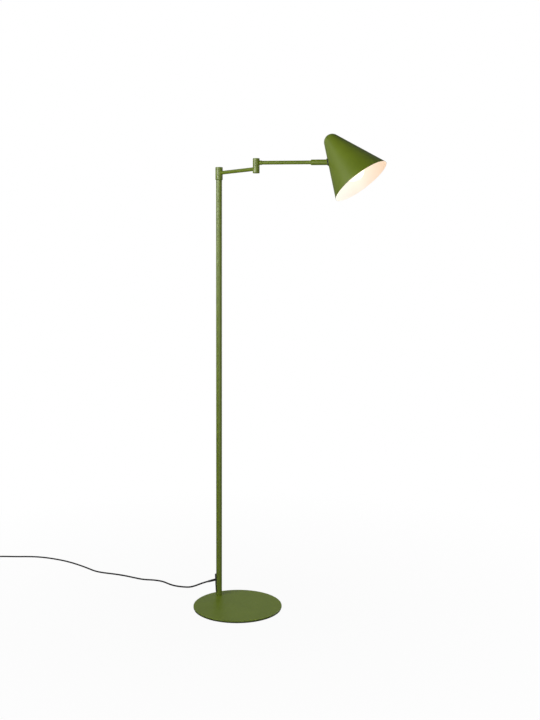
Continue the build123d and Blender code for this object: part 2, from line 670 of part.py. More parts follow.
# ------------------------------------------------------------- write all
def main():
    os.makedirs("parts", exist_ok=True)
    write("base_plate", base_plate())
    write("base_pad", base_pad())
    write("base_bolt", base_bolt(), POLE)
    write("base_washer", tube(14.0, 8.4, 3.0, BOLT_SEAT), POLE)
    write("locating_pin", Pos(0, 5.0, 0) * rod(2.0, BOLT_SEAT + 0.3, 11.5), POLE)
    write("pole", pole(), POLE)
    write("pole_foot", pole_foot(), POLE)
    write("cord_outlet", cord_outlet(), OUTLET)
    write("pole_cable", pole_cable(), OUTLET)
    write("cable_grip", cable_grip(), POLE)
    write("pole_spigot", pole_spigot(), POLE)
    write("swivel_washer", tube(15.6, SPINDLE_DIAMETER + 0.1, sleeve_bottom() - SLIDING_GAP - 0.5,
                                sleeve_bottom() - SLIDING_GAP), POLE)
    write("swivel_spring", tube(14.8, SPINDLE_DIAMETER + 0.1, sleeve_bottom() + 8.0 + SLIDING_GAP,
                                sleeve_bottom() + 9.4), POLE)
    write("swivel_nut", swivel_nut(), POLE)

    write("swivel_sleeve", swivel_sleeve(), LOWER)
    write("swivel_cap", swivel_cap(), LOWER)
    at_lower = LOWER * Pos(0, 0, LOWER_ARM_HEIGHT)
    write("lower_arm_tube", arm_tube(8.1, LOWER_ARM_LENGTH - 7.1), at_lower)
    write("lower_arm_cable", arm_cable(6.0, LOWER_ARM_LENGTH - 6.9), at_lower)
    elbow = LOWER * Pos(LOWER_ARM_LENGTH, 0, 0)
    write("elbow_lower_knuckle", elbow_lower_knuckle(), elbow)
    write("elbow_bottom_cap", elbow_cap(LOWER_ARM_HEIGHT - ELBOW_BELOW, -1), elbow)
    write("elbow_pin", elbow_pin(), elbow)
    write("elbow_washer", tube(16.4, PIN_DIAMETER + 0.1, ELBOW_SEAM, ELBOW_SEAM + ELBOW_WASHER), elbow)
    write("elbow_spring", elbow_spring(), elbow)
    write("elbow_nut", elbow_nut(), elbow)

    write("elbow_upper_knuckle", elbow_upper_knuckle(), UPPER)
    write("elbow_top_cap", elbow_cap(UPPER_ARM_HEIGHT + ELBOW_ABOVE, 1), UPPER)
    at_upper = UPPER * Pos(0, 0, UPPER_ARM_HEIGHT)
    write("arm_collar", ALONG_X * chamfer(tube(COLLAR_DIAMETER, ARM_DIAMETER + 0.04, COLLAR_START,
          COLLAR_END).edges().group_by(Axis.Z)[-1].sort_by(SortBy.LENGTH)[-1:], 0.5), at_upper)
    write("upper_arm_tube", arm_tube(7.1, UPPER_ARM_END), at_upper)
    write("upper_arm_cable", arm_cable(6.9, 172.0), at_upper)
    write("head_spring", head_spring(), at_upper)
    write("head_retaining_ring", head_retaining_ring(), at_upper)

    write("head_sleeve", head_sleeve(), HEAD)
    write("head_stem", head_stem(), HEAD)
    write("wall_gasket", wall_gasket(), HEAD)
    write("inner_spacer", inner_spacer(), HEAD)
    write("stem_nut", stem_nut(), HEAD)
    write("shade_shell", shade_shell(), SHADE)
    write("holder_strap", holder_strap(), SHADE)
    write("holder_nipple", holder_nipple(), SHADE)
    write("holder_nut", holder_nut(), SHADE)
    write("lamp_holder", lamp_holder(), SHADE)
    write("holder_thread", holder_thread(), SHADE)
    write("holder_contacts", holder_contacts(), SHADE)
    write("bulb_cap", bulb_cap(), SHADE)
    write("bulb_glass", bulb_glass(), SHADE)
    write("head_cable", head_cable(), SHADE)

    write("mains_cord", cord_tube("mains_cord", CORD_ROUTE))
    write("switch_base", switch_half(0, SWITCH_SPLIT), SWITCH)
    write("switch_cover", switch_half(SWITCH_SPLIT, SWITCH_HEIGHT), SWITCH)
    write("switch_screws", switch_screws(), SWITCH)
    write("switch_rocker", rocker(), SWITCH)
    write("switch_lead", coil_lead("switch_lead", SWITCH_LEAD_ROUTE))
    write("cord_coil", cord_coil())
    write("coil_tie", coil_tie())
    write("plug_lead", coil_lead("plug_lead", PLUG_LEAD_ROUTE))
    write("plug_body", plug_body(), Pos(*PLUG_START, 0))
    write("plug_pins", plug_pins(), Pos(*PLUG_START, 0))


main()
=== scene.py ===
"""Adjustable arm floor lamp: looks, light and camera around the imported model.

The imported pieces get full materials. The shade, the bulb, the holder's skirt and the
cord are made again here with finer shapes, and the outlet and the plug get grooved
sleeves. Places are in metres in the frame's axes, turned outlines in millimetres.
"""
import json
import math

import bmesh
import bpy
from mathutils import Matrix, Vector


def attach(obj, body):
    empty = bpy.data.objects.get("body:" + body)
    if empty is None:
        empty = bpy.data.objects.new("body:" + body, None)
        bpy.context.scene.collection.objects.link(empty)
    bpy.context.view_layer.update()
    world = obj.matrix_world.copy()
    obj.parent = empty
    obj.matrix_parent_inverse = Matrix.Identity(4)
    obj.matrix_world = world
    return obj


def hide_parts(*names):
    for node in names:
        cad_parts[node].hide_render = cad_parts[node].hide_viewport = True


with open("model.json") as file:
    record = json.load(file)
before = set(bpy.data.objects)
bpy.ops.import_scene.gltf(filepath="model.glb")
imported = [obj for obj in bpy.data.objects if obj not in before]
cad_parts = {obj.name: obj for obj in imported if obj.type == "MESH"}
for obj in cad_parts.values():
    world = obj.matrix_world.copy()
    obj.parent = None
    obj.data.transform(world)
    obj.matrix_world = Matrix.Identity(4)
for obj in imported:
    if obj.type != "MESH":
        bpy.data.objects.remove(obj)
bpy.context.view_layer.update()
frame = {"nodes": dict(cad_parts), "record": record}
NODES = frame["nodes"]
MM = 0.001


def turn(angle, axis):
    """A turn by an angle in degrees about X, Y or Z."""
    return Matrix.Rotation(math.radians(angle), 4, axis)


def add_object(name, data):
    made = bpy.data.objects.new(name, data)
    bpy.context.scene.collection.objects.link(made)
    return made


def grid_mesh(name, grid):
    """The mesh of a finished grid, which is freed."""
    mesh = bpy.data.meshes.new(name)
    grid.to_mesh(mesh)
    grid.free()
    return mesh


# ------------------------------------------------------------------- camera
EYE = (2.1795, -1.4096, 0.9629)
HEADING = 55.16            # degrees, from +Y towards -X
PITCH = -5.68              # degrees above level
ROLL = 0.31                # degrees
LENS = 47.12               # millimetres, for the sensor along the picture's long side
SENSOR = 36.0              # millimetres
CLIP_NEAR = 0.05
CLIP_FAR = 200.0


def add_camera():
    data = bpy.data.cameras.new("camera")
    data.lens = LENS
    data.sensor_width = SENSOR
    data.clip_start = CLIP_NEAR
    data.clip_end = CLIP_FAR
    camera = add_object("camera", data)
    camera.matrix_world = (
        Matrix.Translation(EYE)
        @ turn(HEADING, "Z") @ turn(90.0 + PITCH, "X") @ turn(ROLL, "Z")
    )
    bpy.context.scene.camera = camera


add_camera()

# --------------------------------------------------------------- mains cord
CORD_DIAMETER = 0.0046
LYING = CORD_DIAMETER / 2  # height of the centreline where the cord lies on the floor
NOSE_TIP = (-0.110996, -0.030212, 0.048506)
SWITCH_X = -0.812
SWITCH_BORE = 0.007        # height of the cord through the switch
PLUG_X = -0.814
PLUG_BORE = 0.00685        # height of the cord into the plug
PLUG_FACE_Y = -0.564       # where the cord goes into the plug
# Spline points of the cord, from the outlet's nose to the switch, on through it to the
# coil, and from the coil into the plug.
CORD_TO_SWITCH = [
    NOSE_TIP,
    (-0.11504, -0.04132, 0.04642),
    (-0.1225, -0.055, 0.041),
    (-0.137, -0.0625, 0.033),
    (-0.157, -0.0665, 0.025),
    (-0.184, -0.0685, 0.018),
    (-0.215, -0.0688, 0.0108),
    (-0.243, -0.0695, 0.0052),
    (-0.271, -0.0715, LYING),
    (-0.303, -0.075, LYING),
    (-0.33, -0.091, LYING),
    (-0.352, -0.1165, LYING),
    (-0.38, -0.131, LYING),
    (-0.416, -0.147, LYING),
    (-0.45, -0.168, LYING),
    (-0.479, -0.191, LYING),
    (-0.509, -0.207, LYING),
    (-0.555, -0.2145, LYING),
    (-0.606, -0.226, LYING),
    (-0.655, -0.242, LYING),
    (-0.702, -0.266, LYING),
    (-0.741, -0.293, LYING),
    (-0.769, -0.324, LYING),
    (-0.789, -0.357, 0.0024),
    (-0.805, -0.387, 0.0042),
    (SWITCH_X, -0.411, 0.0068),
    (SWITCH_X, -0.432, SWITCH_BORE),
]
SWITCH_TO_COIL = [
    (SWITCH_X, -0.49, SWITCH_BORE),
    (SWITCH_X, -0.499, SWITCH_BORE),
    (-0.8123, -0.511, 0.004),
    (-0.812, -0.526, 0.003),
]
COIL_TO_PLUG = [
    (-0.812, -0.526, 0.0075),
    (-0.8126, -0.54, 0.0076),
    (PLUG_X, -0.552, PLUG_BORE),
    (PLUG_X, PLUG_FACE_Y, PLUG_BORE),
    (PLUG_X, -0.571, PLUG_BORE),
]
SPLINE_STEPS = 10          # samples from one spline point to the next
CORD_ROUNDNESS = 6         # bevel resolution of the cord's curve
COIL_CENTRE = (-0.7791, -0.526)
COIL_STEPS = 20            # spline points to a turn
# turns wound so far, radius of the turn, height of its centreline
COIL_SHAPE = [
    (0.0, 0.0329, 0.0029),
    (2.5, 0.0214, 0.0029),
    (2.75, 0.0184, 0.0051),
    (3.0, 0.0184, 0.0075),
    (4.0, 0.0237, 0.0075),
    (5.0, 0.0283, 0.0075),
    (6.0, 0.0329, 0.0075),
]


def between(stations, at):
    """Radius and height of the coil after that many turns."""
    for (t0, r0, z0), (t1, r1, z1) in zip(stations, stations[1:]):
        if at <= t1:
            share = (at - t0) / (t1 - t0)
            return r0 + share * (r1 - r0), z0 + share * (z1 - z0)
    return stations[-1][1:]


def coil_points():
    """Turns wound inwards on the floor, then outwards on top of them.

    A quadratic spline runs inside its points, so these are pushed out by as much.
    """
    points = []
    push_out = 1.0 / (0.75 + 0.25 * math.cos(2 * math.pi / COIL_STEPS))
    all_turns = COIL_SHAPE[-1][0]
    for i in range(1, int(all_turns * COIL_STEPS)):
        turns = i / COIL_STEPS
        radius, height = between(COIL_SHAPE, turns)
        angle = math.pi + 2 * math.pi * turns
        points.append((COIL_CENTRE[0] + push_out * radius * math.cos(angle),
                       COIL_CENTRE[1] + push_out * radius * math.sin(angle), height))
    return points


def spline_curve(name, points, radius):
    """Quadratic spline through space, as a round cord with closed ends."""
    curve = bpy.data.curves.new(name, "CURVE")
    curve.dimensions = "3D"
    spline = curve.splines.new("NURBS")
    spline.points.add(len(points) - 1)
    for slot, point in zip(spline.points, points):
        slot.co = (*point, 1.0)
    spline.order_u = 3
    spline.use_endpoint_u = True
    spline.resolution_u = SPLINE_STEPS
    curve.bevel_depth = radius
    curve.bevel_resolution = CORD_ROUNDNESS
    curve.use_fill_caps = True
    return add_object(name, curve)


ROUTE = CORD_TO_SWITCH + SWITCH_TO_COIL + coil_points() + COIL_TO_PLUG
cord = spline_curve("mains_lead", ROUTE, CORD_DIAMETER / 2)
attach(cord, "base")
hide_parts("mains_cord", "switch_lead", "cord_coil", "plug_lead")


def centreline(points):
    """Points along the cord's own spline, read from a copy with no thickness."""
    bare = spline_curve("centreline", points, 0.0)
    mesh = bpy.data.meshes.new_from_object(bare)
    line = [v.co.copy() for v in mesh.vertices]
    bpy.data.meshes.remove(mesh)
    bpy.data.objects.remove(bare)
    return line


# ---------------------------------------------------------------- materials
BULB_GLOW = 1.2            # strength of the bulb's light
ENAMEL_PAINTED_LIGHT = 0.63         # strength of the painted light on the shade's enamel, for the bulb's light falling on it
PAINTED_LIGHT_NEAR = (1.0, 0.95, 0.86)          # colour of that painted light on its white side
PAINTED_LIGHT_FAR = (0.92, 0.48, 0.21)          # and on its peach side
PAINTED_LIGHT_ACROSS = (0.5709, 0.821, 0.0)     # direction from one to the other
PAINTED_LIGHT_TURNS = (0.29, 0.43)  # distances along it between which the painted light changes colour
EDGE_PAINTED_SHADE = 0.32          # painted shade on the plate's lower edge, as a share of its coat's colour
PAINTED_SHADE_TOP = 0.0053          # height up to which that painted shade reaches
PAINTED_SHADE_BLUR = 0.0004


class Paint:
    """One procedural material: a Principled shader and the nodes that feed it.

    Coordinates are the object's own, in metres, so a noise of scale 1000 has
    grains about a millimetre across.
    """

    def __init__(self, name, roughness=0.5, metallic=0.0, **sockets):
        self.material = bpy.data.materials.new(name)
        self.material.use_nodes = True
        self.tree = self.material.node_tree
        self.shader = self.tree.nodes["Principled BSDF"]
        self.coords = self.add("ShaderNodeTexCoord").outputs["Object"]
        self.set("Roughness", roughness)
        self.set("Metallic", metallic)
        for label, value in sockets.items():
            self.set(label.replace("_", " "), value)

    def add(self, kind, **values):
        node = self.tree.nodes.new(kind)
        for key, value in values.items():
            setattr(node, key, value)
        return node

    def set(self, label, value):
        self.shader.inputs[label].default_value = value

    def link(self, output, socket):
        self.tree.links.new(output, socket)

    def stretched(self, scale):
        mapping = self.add("ShaderNodeMapping")
        mapping.inputs["Scale"].default_value = scale
        self.link(self.coords, mapping.inputs["Vector"])
        return mapping.outputs["Vector"]

    def noise(self, scale, detail=3.0, rough=0.55, stretch=None):
        node = self.add("ShaderNodeTexNoise")
        node.inputs["Scale"].default_value = scale
        node.inputs["Detail"].default_value = detail
        node.inputs["Roughness"].default_value = rough
        self.link(self.stretched(stretch) if stretch else self.coords, node.inputs["Vector"])
        return node.outputs["Fac"]

    def cells(self, scale):
        node = self.add("ShaderNodeTexVoronoi")
        node.inputs["Scale"].default_value = scale
        self.link(self.coords, node.inputs["Vector"])
        return node.outputs["Distance"]

    def ranged(self, value, low, high, from_low=0.3, from_high=0.7):
        """A value stretched from one range to another, and clamped to it."""
        node = self.add("ShaderNodeMapRange")
        for label, number in (("From Min", from_low), ("From Max", from_high),
                              ("To Min", low), ("To Max", high)):
            node.inputs[label].default_value = number
        self.link(value, node.inputs["Value"])
        return node.outputs["Result"]

    def mixed(self, factor, first, second):
        """Two colours, or colour outputs, mixed by a factor."""
        node = self.add("ShaderNodeMix", data_type="RGBA")
        self.link(factor, node.inputs["Factor"])
        for socket, colour in ((node.inputs[6], first), (node.inputs[7], second)):
            if isinstance(colour, (tuple, list)):
                socket.default_value = (*colour[:3], 1.0)
            else:
                self.link(colour, socket)
        return node.outputs[2]

    def math(self, operation, first, second):
        node = self.add("ShaderNodeMath", operation=operation)
        for socket, value in zip(node.inputs, (first, second)):
            if isinstance(value, (int, float)):
                socket.default_value = value
            else:
                self.link(value, socket)
        return node.outputs["Value"]

    def colour(self, output):
        self.link(output, self.shader.inputs["Base Color"])

    def roughness(self, output):
        self.link(output, self.shader.inputs["Roughness"])

    def bump(self, height, strength, distance):
        node = self.add("ShaderNodeBump")
        node.inputs["Strength"].default_value = strength
        node.inputs["Distance"].default_value = distance
        self.link(height, node.inputs["Height"])
        self.link(node.outputs["Normal"], self.shader.inputs["Normal"])


def srgb(red, green, blue):
    """Linear colour of an sRGB one given from 0 to 255."""
    def linear(value):
        value /= 255.0
        return value / 12.92 if value <= 0.04045 else ((value + 0.055) / 1.055) ** 2.4
    return linear(red), linear(green), linear(blue)


def powder_coat(name, dark, light, roughness, peel=900.0, painted_shade_below=None):
    """Baked powder paint: fine orange peel, faint light specks, slight mottling.

    Below a given height the coat is darkened as painted shade, standing in for the shadow along a
    plate's lower edge.
    """
    p = Paint(name, IOR=1.54)
    mottle = p.ranged(p.noise(22.0, 2.0), 0.0, 1.0)
    body = p.mixed(mottle, dark, light)
    speck = p.ranged(p.noise(5200.0, 1.0), 0.0, 0.08, 0.56, 0.72)
    coat = p.mixed(speck, body, tuple(min(1.0, c * 1.5 + 0.01) for c in light))
    # painted shade: darkens the plate's side below the given height, for the shadow along its
    # lower edge
    if painted_shade_below:
        height = p.add("ShaderNodeSeparateXYZ")
        p.link(p.coords, height.inputs[0])
        painted_edge_shade = p.ranged(height.outputs["Z"], 1.0, 0.0, painted_shade_below - PAINTED_SHADE_BLUR, painted_shade_below)
        coat = p.mixed(painted_edge_shade, coat, tuple(c * EDGE_PAINTED_SHADE for c in dark))
    p.colour(coat)
    p.roughness(p.ranged(p.noise(160.0, 4.0), roughness - 0.05, roughness + 0.06))
    fine_grain = p.math("MULTIPLY", p.noise(4200.0, 1.0), 0.35)
    p.bump(p.math("ADD", p.noise(peel, 2.0, 0.45), fine_grain), 0.09, 0.0001)
    return p.material


def enamel(name, base, glow=0.0):
    """Stove enamel or glazed ceramic. With a glow, it gets painted light from the bulb as
    emission, whiter on one side and peach on the other.
    """
    p = Paint(name, IOR=1.5)
    p.colour(p.mixed(p.ranged(p.noise(30.0), 0.0, 1.0), base, tuple(c * 0.94 for c in base)))
    p.roughness(p.ranged(p.noise(240.0), 0.38, 0.5))
    p.bump(p.noise(1100.0, 2.0), 0.08, 0.00006)
    # painted light: the bulb's light on the inside of the shade, given as emission
    if glow:
        along = p.add("ShaderNodeVectorMath", operation="DOT_PRODUCT")
        p.link(p.coords, along.inputs[0])
        along.inputs[1].default_value = PAINTED_LIGHT_ACROSS
        side = p.ranged(along.outputs["Value"], 0.0, 1.0, *PAINTED_LIGHT_TURNS)
        p.link(p.mixed(side, PAINTED_LIGHT_NEAR, PAINTED_LIGHT_FAR), p.shader.inputs["Emission Color"])
        p.set("Emission Strength", glow)
    return p.material


def moulded(name, base, roughness=0.5, grain=2600.0, depth=0.35):
    """Spark-eroded moulded plastic or rubber: fine pits and worn patches."""
    p = Paint(name, IOR=1.47)
    worn = tuple(c * 1.7 + 0.004 for c in base)
    p.colour(p.mixed(p.ranged(p.noise(70.0, 5.0), 0.0, 1.0), base, worn))
    p.roughness(p.ranged(p.noise(130.0, 4.0), roughness - 0.08, roughness + 0.1))
    pits = p.math("ADD", p.cells(grain), p.noise(grain * 2.2, 2.0))
    p.bump(pits, depth, 0.00008)
    return p.material


def sheath(name, base):
    """Cord sheath: smooth extruded plastic with a fine grain and faint dust."""
    p = Paint(name, IOR=1.48)
    dust = p.ranged(p.noise(55.0, 6.0), 0.0, 0.7, 0.5, 0.8)
    p.colour(p.mixed(dust, base, tuple(c + 0.005 for c in base)))
    p.set("Specular IOR Level", 0.3)
    p.roughness(p.ranged(p.noise(420.0, 3.0), 0.36, 0.52))
    p.bump(p.noise(1500.0, 2.0), 0.22, 0.00006)
    return p.material


def metal(name, base, roughness, brushed=(1.0, 1.0, 14.0)):
    """Turned or drawn metal: fine tool lines and a slightly patchy colour."""
    p = Paint(name, metallic=1.0)
    p.colour(p.mixed(p.ranged(p.noise(90.0, 5.0), 0.0, 1.0), base, tuple(c * 0.78 for c in base)))
    lines = p.noise(900.0, 4.0, 0.6, stretch=brushed)
    p.roughness(p.ranged(lines, roughness - 0.07, roughness + 0.12))
    p.bump(lines, 0.18, 0.00004)
    return p.material


def woven(name, base):
    """Hook-and-loop strap: a mat of short loops."""
    p = Paint(name, roughness=0.85)
    p.set("Sheen Weight", 0.35)
    loops = p.cells(1700.0)
    p.colour(p.mixed(p.ranged(loops, 0.0, 1.0, 0.1, 0.6), tuple(c * 2.4 for c in base), base))
    p.bump(loops, 0.7, 0.0004)
    return p.material


def lit_bulb(name):
    """Frosted glass with the lamp on, in a warm white."""
    p = Paint(name, roughness=0.35, IOR=1.45)
    p.set("Base Color", (0.92, 0.88, 0.8, 1.0))
    frost = p.ranged(p.noise(60.0, 3.0), 0.0, 1.0)
    glow = p.mixed(frost, (1.0, 0.80, 0.54), (1.0, 0.82, 0.57))
    p.link(glow, p.shader.inputs["Emission Color"])
    p.set("Emission Strength", BULB_GLOW)
    p.bump(p.noise(2200.0, 2.0), 0.15, 0.00005)
    return p.material


TUBE_GREENS = srgb(86, 102, 9), srgb(92, 108, 14)
# the plate's greens are the tubes' coat made lighter: painted light for the stronger light
# falling on its upward face
PLATE_GREENS_PAINTED_LIGHTER = srgb(108, 129, 11), srgb(114, 135, 16)
green = powder_coat("green_powder_coat", *TUBE_GREENS, 0.42)
base_green_painted_lighter = powder_coat("green_coat_painted_lighter", *PLATE_GREENS_PAINTED_LIGHTER, 0.44, 700.0, painted_shade_below=PAINTED_SHADE_TOP)
white = enamel("white_enamel", (0.5, 0.48, 0.44), ENAMEL_PAINTED_LIGHT)
black = moulded("black_moulding", (0.012, 0.012, 0.013))
rubber = moulded("black_rubber", (0.010, 0.010, 0.010), 0.66, 1800.0, 0.5)
lead = sheath("cord_sheath", (0.004, 0.004, 0.0045))
steel = metal("zinc_steel", (0.56, 0.56, 0.57), 0.34)
brass = metal("brass", (0.72, 0.5, 0.2), 0.3)
nickel = metal("nickel_pin", (0.66, 0.64, 0.6), 0.22, (1.0, 10.0, 1.0))
ceramic = enamel("ceramic", (0.78, 0.76, 0.7))
bulb_metal = metal("bulb_cap_metal", (0.7, 0.7, 0.7), 0.28)
strap = woven("tie_strap", (0.012, 0.012, 0.013))
glass = lit_bulb("frosted_bulb")

SLOT_MATERIALS = {
    "green_paint": green, "steel": steel, "brass": brass, "black_rubber": rubber,
    "black_plastic": black, "ceramic": ceramic, "bulb_glass": glass,
    "bulb_metal": bulb_metal, "cord_sheath": lead, "pin_metal": nickel,
}
OWN_MATERIALS = {"coil_tie": strap, "base_plate": base_green_painted_lighter}


def paint_cad():
    """Gives every CAD node its own full material, or that of its record slot."""
    for part in frame["record"]["subparts"]:
        node = NODES[part["node"]]
        finish = OWN_MATERIALS.get(part["node"], SLOT_MATERIALS[part["material_slot"]])
        if not node.material_slots:
            node.data.materials.append(finish)
        for held in node.material_slots:
            held.material = finish


paint_cad()
cord.data.materials.append(lead)

# ------------------------------------------------------------ moving frames
# Angles at rest, in degrees, and the offsets from each joint to the next.
LOWER_ANGLE = 6.5
ELBOW_ANGLE = 42.1
HEAD_ROLL = -12.2
SHADE_TILT = 36.07
POLE_X = -0.1
LOWER_REACH = 0.16
UPPER_ARM_HEIGHT = 1.2377
SHADE_MOUTH = (0.2799, 0.0, -0.0526)   # centre of the shade's mouth, from the elbow's axis
POLE = Matrix.Translation((POLE_X, 0.0, 0.0))
LOWER = POLE @ turn(LOWER_ANGLE, "Z")
UPPER = LOWER @ Matrix.Translation((LOWER_REACH, 0.0, 0.0)) @ turn(ELBOW_ANGLE, "Z")
HEAD = UPPER @ Matrix.Translation((0.0, 0.0, UPPER_ARM_HEIGHT)) @ turn(HEAD_ROLL, "X")
SHADE = HEAD @ Matrix.Translation(SHADE_MOUTH) @ turn(-SHADE_TILT, "Y")


# ------------------------------------------------------------------- meshes
ON_AXIS = 1e-6             # a radius this small is a single point


def mesh_object(name, mesh, place, materials, body):
    """A smooth-shaded piece that rides on a body of the frame."""
    for material in materials:
        mesh.materials.append(material)
    for face in mesh.polygons:
        face.use_smooth = True
    mesh.transform(place)
    made = add_object(name, mesh)
    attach(made, body)
    return made


def lathe(name, outline, place, materials, body, segments, inner_from=None, swell=None):
    """Turns (radius, height) points in millimetres about Z into a closed skin.

    Faces from row inner_from on take the second material. swell(angle, row)
    adds to the radius.
    """
    grid = bmesh.new()
    rings = []
    for row, (radius, height) in enumerate(outline):
        if radius < ON_AXIS:
            rings.append([grid.verts.new((0, 0, height * MM))])
            continue
        ring = []
        for i in range(segments):
            angle = 2 * math.pi * i / segments
            wide = radius + (swell(angle, row) if swell else 0.0)
            ring.append(grid.verts.new((wide * math.cos(angle) * MM,
                                        wide * math.sin(angle) * MM, height * MM)))
        rings.append(ring)
    pairs = list(zip(rings, rings[1:]))
    if len(rings[0]) > 1 and len(rings[-1]) > 1:
        pairs.append((rings[-1], rings[0]))
    for row, (low, high) in enumerate(pairs):
        for i in range(segments):
            j = (i + 1) % segments
            if len(low) == 1:
                face = grid.faces.new((low[0], high[j], high[i]))
            elif len(high) == 1:
                face = grid.faces.new((low[i], low[j], high[0]))
            else:
                face = grid.faces.new((low[i], low[j], high[j], high[i]))
            if inner_from is not None and row >= inner_from:
                face.material_index = 1
    bmesh.ops.recalc_face_normals(grid, faces=grid.faces)
    return mesh_object(name, grid_mesh(name, grid), place, materials, body)


def sleeve_along(name, line, radii, materials, body, segments):
    """Closed tube whose ring at each point of the line has its own radius."""
    grid = bmesh.new()
    rings = []
    up = Vector((0, 0, 1))
    for i, point in enumerate(line):
        way = (line[min(i + 1, len(line) - 1)] - line[max(i - 1, 0)]).normalized()
        side = way.cross(up).normalized()
        top = side.cross(way)
        rings.append([
            grid.verts.new(point + radii[i] * (math.cos(a) * side + math.sin(a) * top))
            for a in (2 * math.pi * k / segments for k in range(segments))
        ])
    for low, high in zip(rings, rings[1:]):
        for k in range(segments):
            j = (k + 1) % segments
            grid.faces.new((low[k], low[j], high[j], high[k]))
    grid.faces.new(rings[0])
    grid.faces.new(rings[-1])
    bmesh.ops.recalc_face_normals(grid, faces=grid.faces)
    mesh = grid_mesh(name, grid)
    return mesh_object(name, mesh, Matrix.Identity(4), materials, body)


# -------------------------------------------------------------------- shade
SHADE_RADIUS = 81.5
SHADE_HEIGHT = 155.0
DOME_RADIUS = 22.0
SHADE_WALL = 1.2
RIM_DEPTH = 0.5            # of the rounded edge at the mouth
CONE_ROWS = 36
DOME_ROWS = 16
RIM_ROWS = 8
SHADE_SEGMENTS = 192


def shade_side(inset):
    """(radius, height) points up one side of the wall, from the mouth to the top."""
    centre = SHADE_HEIGHT - DOME_RADIUS
    reach = math.hypot(SHADE_RADIUS, centre)
    angle = math.acos(DOME_RADIUS / reach) - math.atan2(centre, SHADE_RADIUS)
    dome = DOME_RADIUS - inset
    foot = SHADE_RADIUS - inset / math.cos(angle)
    top = (dome * math.cos(angle), centre + dome * math.sin(angle))
    side = []
    for i in range(CONE_ROWS):
        height = RIM_DEPTH + (top[1] - RIM_DEPTH) * i / CONE_ROWS
        side.append((foot + (top[0] - foot) * height / top[1], height))
    for i in range(DOME_ROWS + 1):
        bend = angle + (math.pi / 2 - angle) * i / DOME_ROWS
        side.append((dome * math.cos(bend), centre + dome * math.sin(bend)))
    side[-1] = (0.0, centre + dome)
    return side


def shade_outline():
    """Outside from the top down, the rounded rim, and the inside back to the top."""
    outer = shade_side(0.0)
    inner = shade_side(SHADE_WALL)
    middle = (outer[0][0] + inner[0][0]) / 2
    half = (outer[0][0] - inner[0][0]) / 2
    rim = [(middle + half * math.cos(a), RIM_DEPTH - RIM_DEPTH * math.sin(a))
           for a in (math.pi * k / RIM_ROWS for k in range(1, RIM_ROWS))]
    return outer[::-1], rim, inner


outer, rim, inner = shade_outline()
shade = lathe("shade_cone", outer + rim + inner, SHADE, [green, white], "head",
              SHADE_SEGMENTS, inner_from=len(outer) + 1)
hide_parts("shade_shell")

# --------------------------------------------------------------------- bulb
BULB_RADIUS = 30.0
BULB_CENTRE = 38.0         # height over the shade's mouth
BULB_ARC = 125             # degrees of the globe, from its lowest point
BULB_ARC_ROWS = 28
BULB_LEAVES = (-0.574, 0.819)          # direction in which the globe turns into the neck
NECK_RADIUS = 13.4
NECK_BASE = 82.0
NECK_TOP = 88.0
NECK_ROWS = 12
NECK_PULL = 30.0           # how long the curve keeps the direction of each of its ends
BULB_SEGMENTS = 96


def bulb_outline():
    """A globe that runs smoothly into a straight neck."""
    line = []
    for i in range(BULB_ARC_ROWS + 1):
        angle = math.radians(-90 + BULB_ARC * i / BULB_ARC_ROWS)
        line.append((BULB_RADIUS * math.cos(angle),
                     BULB_CENTRE + BULB_RADIUS * math.sin(angle)))
    line[0] = (0.0, BULB_CENTRE - BULB_RADIUS)
    start, end = Vector(line[-1]), Vector((NECK_RADIUS, NECK_BASE))
    leave, arrive = Vector(BULB_LEAVES) * NECK_PULL, Vector((0.0, 1.0)) * NECK_PULL
    for i in range(1, NECK_ROWS + 1):
        t = i / NECK_ROWS
        point = (start * (2 * t**3 - 3 * t**2 + 1) + leave * (t**3 - 2 * t**2 + t)
                 + end * (3 * t**2 - 2 * t**3) + arrive * (t**3 - t**2))
        line.append(tuple(point))
    return line + [(NECK_RADIUS, NECK_TOP), (0.0, NECK_TOP)]


bulb = lathe("bulb_envelope", bulb_outline(), SHADE, [glass], "head",
             BULB_SEGMENTS)
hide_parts("bulb_glass")

# -------------------------------------------------------------- lamp holder
HOLDER_OUTLINE = [
    # the socket's wall, and its rounded mouth
    (15.3, 121.0), (15.3, 85.1), (15.8, 84.6), (17.2, 84.5), (17.8, 84.9), (18.0, 85.6),
    # the lower band, the ribbed grip and the upper band
    (18.0, 87.0), (17.5, 87.4), (17.5, 88.0),
    (17.6, 89.0), (17.6, 94.0), (17.6, 99.0), (17.6, 104.0),
    (17.5, 107.0), (17.5, 107.6), (18.0, 108.0), (18.0, 110.0), (17.7, 110.5),
    # the plain body, its shoulder and the bore for the nipple
    (17.7, 128.0), (17.2, 129.4), (12.0, 135.4), (10.6, 136.4), (5.1, 136.4), (5.1, 121.0),
]
RIBBED_ROWS = range(9, 13)
RIBS = 30
RIB_DEPTH = 0.35
HOLDER_SEGMENTS = 240


def holder_ribs(angle, row):
    """Grip ribs between the two bands of the holder's skirt."""
    return RIB_DEPTH * max(0.0, math.cos(angle * RIBS)) if row in RIBBED_ROWS else 0.0


holder = lathe("holder_skirt", HOLDER_OUTLINE, SHADE, [black], "head",
               HOLDER_SEGMENTS, swell=holder_ribs)
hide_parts("lamp_holder")

# ------------------------------------------------------------ strain relief
RELIEF_LENGTH = 0.022
RELIEF_GROOVES = 5
RELIEF_GROOVED = (0.15, 0.95)          # share of its length that has grooves
RELIEF_RADIUS = 2.75       # at the thin end, in millimetres
RELIEF_FLARE = 1.5         # how much thicker it is at the plug
RELIEF_DEPTH = 0.5         # of a groove
RELIEF_ROWS = 60
RELIEF_SEGMENTS = 24
RELIEF_SINK = 0.0005       # how far it reaches into the plug
CORD_TAIL = 6 * SPLINE_STEPS           # last points of the centreline, with the plug's end


def groove_wave(count, along):
    """0 at the bottom of each groove and 1 on the ring between two."""
    return 0.5 - 0.5 * math.cos(2 * math.pi * count * along)


